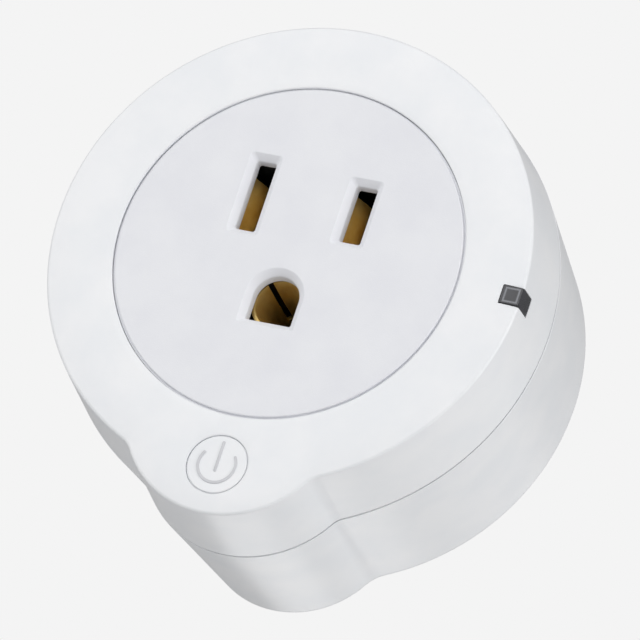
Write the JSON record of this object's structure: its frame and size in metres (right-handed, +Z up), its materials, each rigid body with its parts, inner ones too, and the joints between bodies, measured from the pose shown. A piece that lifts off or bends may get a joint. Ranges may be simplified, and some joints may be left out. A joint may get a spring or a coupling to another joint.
{
  "type": "smart plug",
  "caption": "Round plug-through smart plug: grounded outlet in front, blades behind, a power button on a lower lobe, and a relay and boards inside.",
  "frame": {"origin": "midway between the centres of the line and neutral blades, on the flat back face that meets the wall outlet", "axes": "+X to the right and +Z up as seen from the front, +Y into the wall, along the blades; the outlet face looks along -Y"},
  "size_m": [0.0584, 0.0518, 0.0627],
  "materials": {
    "case_plastic": "satin moulded white polycarbonate",
    "face_plastic": "fine matte grain, moulded",
    "window_plastic": "smoked translucent acrylic, polished",
    "led_resin": "clear resin over phosphor",
    "contact_brass": "stamped and bent sheet",
    "blade_nickel": "nickel-plated brass, tumbled",
    "screw_steel": "zinc-plated steel",
    "shield_steel": "tin-plated sheet",
    "relay_iron": "plated soft iron",
    "contact_copper": "rolled copper alloy with a silver contact",
    "coil_copper": "lacquered copper wire, wound",
    "block_plastic": "black moulded polyester",
    "retainer_plastic": "grey moulded nylon",
    "bobbin_plastic": "natural moulded nylon",
    "board_laminate": "green solder mask on glass-epoxy laminate",
    "radio_laminate": "blue solder mask on glass-epoxy laminate",
    "sheet_fibre": "pressed insulating fibre",
    "relay_case": "blue moulded polyester",
    "film_case": "yellow potted box",
    "varistor_coat": "dipped epoxy coat",
    "fuse_ceramic": "glazed ceramic tube",
    "capacitor_sleeve": "shrunk sleeve over an aluminium can",
    "ferrite": "sintered ferrite",
    "chip_resin": "moulded epoxy"
  },
  "bodies": {
    "case": {"front_cover": "case_plastic", "rear_cover": "case_plastic", "outlet_face": "face_plastic", "light_window": "window_plastic", "status_led": "led_resin", "socket_block": "block_plastic", "neutral_contact": "contact_brass", "line_contact": "contact_brass", "ground_contact": "contact_brass", "ground_strap": "contact_brass", "neutral_blade": "blade_nickel", "line_blade": "blade_nickel", "ground_pin": "blade_nickel", "blade_retainer": "retainer_plastic", "insulating_sheet": "sheet_fibre", "case_screw_1": "screw_steel", "case_screw_2": "screw_steel", "case_screw_3": "screw_steel", "case_screw_4": "screw_steel", "board_screw_1": "screw_steel", "board_screw_2": "screw_steel", "retainer_screw_1": "screw_steel", "retainer_screw_2": "screw_steel", "main_board": "board_laminate", "control_board": "board_laminate", "radio_board": "radio_laminate", "shield_can": "shield_steel", "header_strip": "block_plastic", "header_pin_1": "contact_brass", "header_pin_2": "contact_brass", "header_pin_3": "contact_brass", "header_pin_4": "contact_brass", "switch_body": "block_plastic", "switch_dome": "screw_steel", "relay_cover": "relay_case", "relay_base": "block_plastic", "relay_bobbin": "bobbin_plastic", "relay_coil": "coil_copper", "relay_core": "relay_iron", "relay_yoke": "relay_iron", "relay_fixed_contact": "contact_copper", "film_capacitor": "film_case", "varistor": "varistor_coat", "fuse": "fuse_ceramic", "bulk_capacitor_1": "capacitor_sleeve", "bulk_capacitor_2": "capacitor_sleeve", "output_capacitor": "capacitor_sleeve", "choke_core": "ferrite", "choke_winding": "coil_copper", "bridge_rectifier": "chip_resin", "converter_chip": "chip_resin", "regulator": "chip_resin"},
    "button": {"power_button": "case_plastic"},
    "plunger": {"switch_plunger": "bobbin_plastic"},
    "armature": {"relay_armature": "relay_iron", "relay_spring": "contact_copper"}
  },
  "joints": [
    {"name": "button_press", "type": "slide", "parent": "case", "child": "button", "axis": [0, 1, 0], "range_m": [0, 0.0005], "stiffness_N_per_m": 400, "springref_m": -0.0005},
    {"name": "plunger_press", "type": "slide", "parent": "case", "child": "plunger", "axis": [0, 1, 0], "range_m": [0, 0.0005]},
    {"name": "armature_swing", "type": "hinge", "parent": "case", "child": "armature", "pos_m": [-0.0164, -0.0213, -0.00463], "axis": [1, 0, 0], "range_deg": [0, 5], "stiffness_Nm_per_rad": 0.01, "springref_deg": -2.86}
  ],
  "couplings": [
    {"joint": "plunger_press", "follows": "button_press", "ratio": 1}
  ]
}
